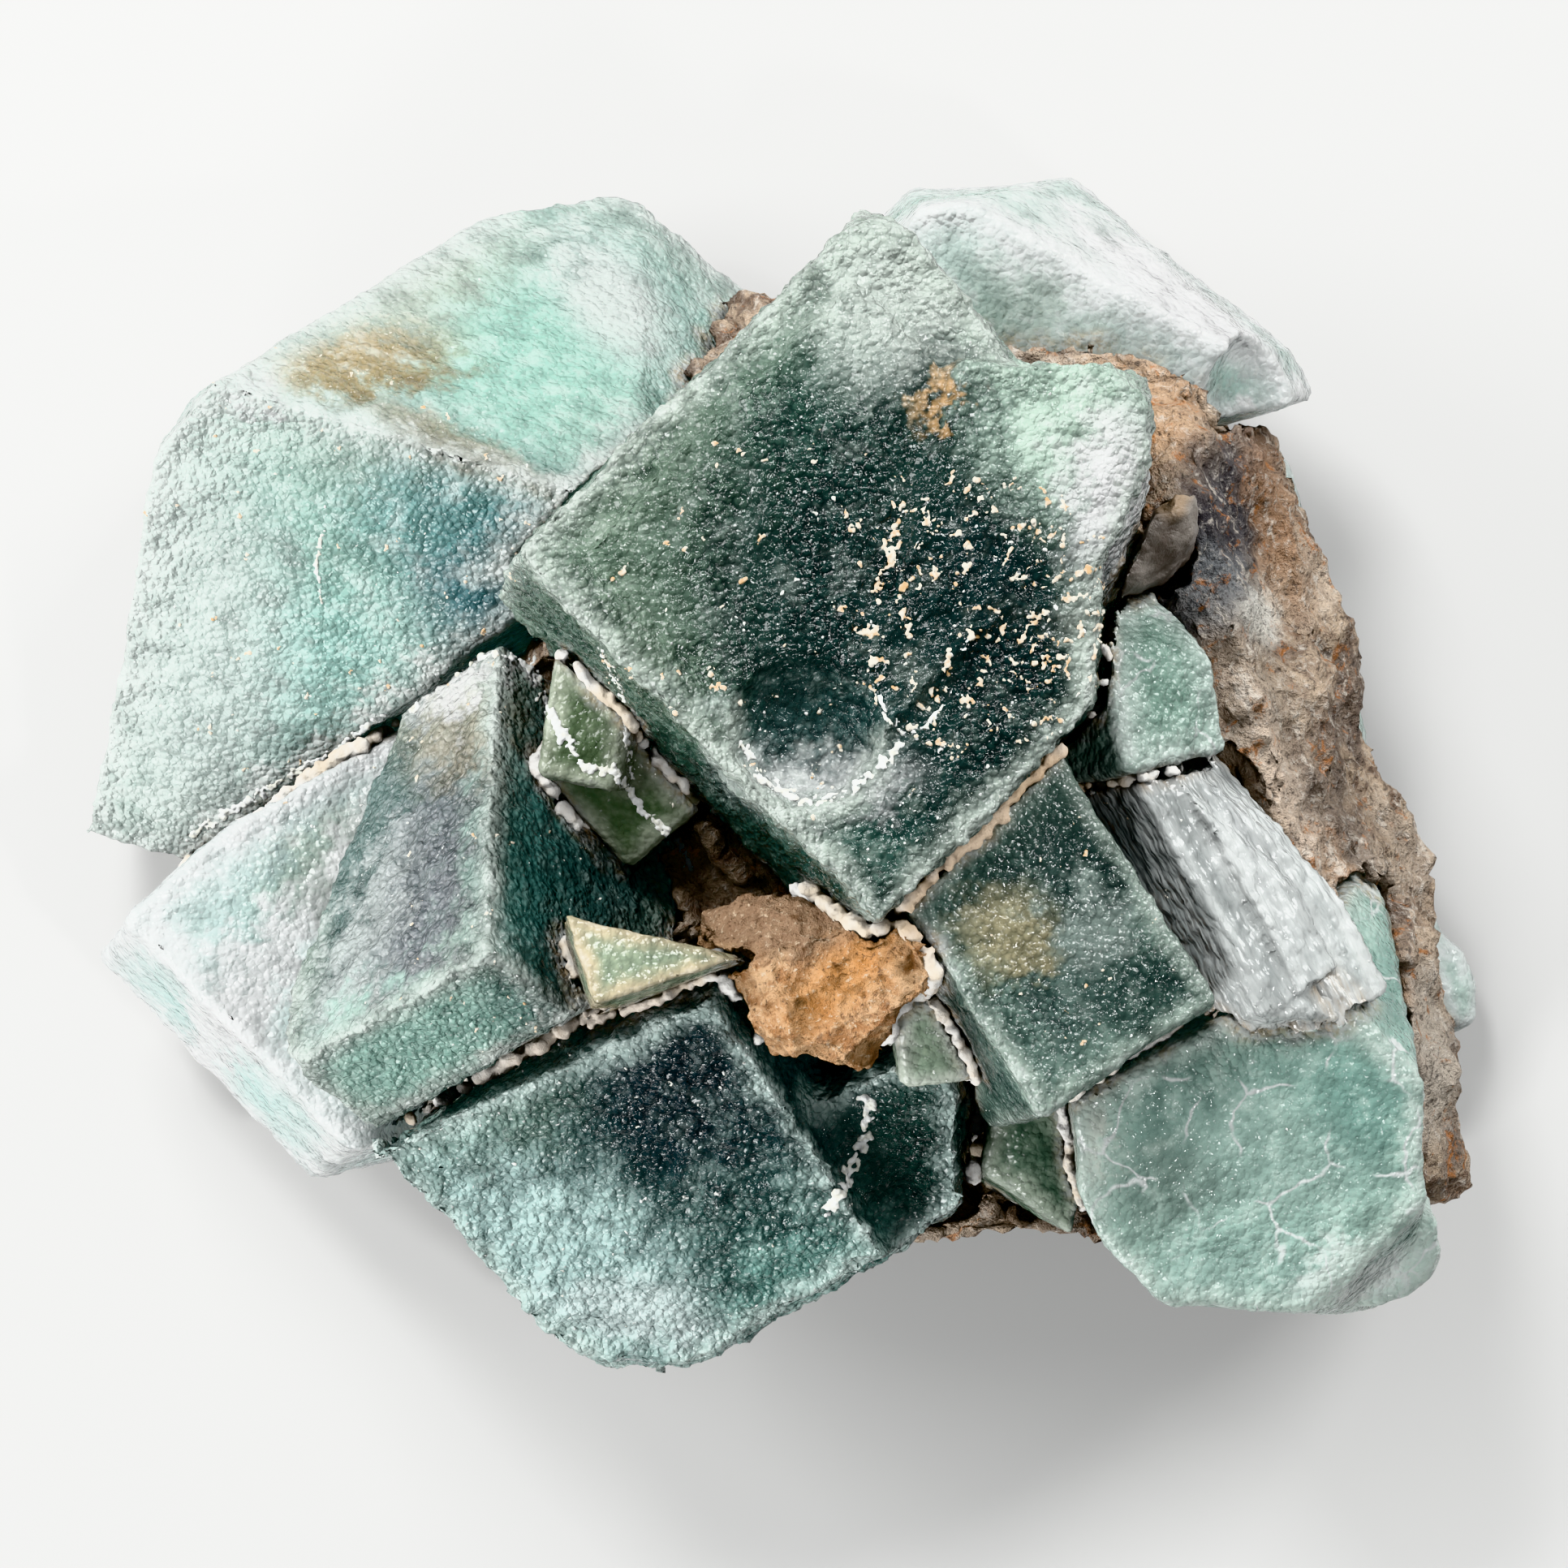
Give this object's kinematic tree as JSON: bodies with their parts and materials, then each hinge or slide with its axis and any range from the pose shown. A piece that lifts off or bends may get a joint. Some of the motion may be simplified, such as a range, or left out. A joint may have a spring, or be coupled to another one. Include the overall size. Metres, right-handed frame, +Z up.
{
  "type": "fluorite specimen",
  "caption": "Fluorite specimen: blue-green cubic crystals grown together on a lump of brown vein rock, with an ochre block between them. It lies on the flat break of the rock.",
  "frame": {"origin": "on the resting plane, under the middle of the specimen's bounding box", "axes": "+Z up, away from the flat break of the rock; +X towards the side where the rock shows; +Y towards the pale crystal behind the largest face"},
  "size_m": [0.0858, 0.0726, 0.0464],
  "materials": {
    "blue_green_fluorite": "etched, frosted",
    "pale_fluorite": "frosted",
    "ochre_carbonate": "pitted, dull",
    "smoky_quartz": "broken, satin",
    "vein_rock": "rough, dull"
  },
  "bodies": {
    "root": {"crystal_centre": "blue_green_fluorite", "crystal_upper_left": "blue_green_fluorite", "crystal_lower_left": "blue_green_fluorite", "crystal_left_corner": "blue_green_fluorite", "crystal_bottom": "blue_green_fluorite", "crystal_right": "blue_green_fluorite", "crystal_lower_right": "blue_green_fluorite", "crystal_upper_right": "blue_green_fluorite", "crystal_right_upper": "blue_green_fluorite", "cleaved_splinter": "pale_fluorite", "olive_chip": "blue_green_fluorite", "gap_crystals": "blue_green_fluorite", "pale_chip": "pale_fluorite", "under_crystal": "blue_green_fluorite", "fluorite_rim": "pale_fluorite", "ochre_block": "ochre_carbonate", "smoky_chip": "smoky_quartz", "vein_rock": "vein_rock"}
  },
  "joints": []
}
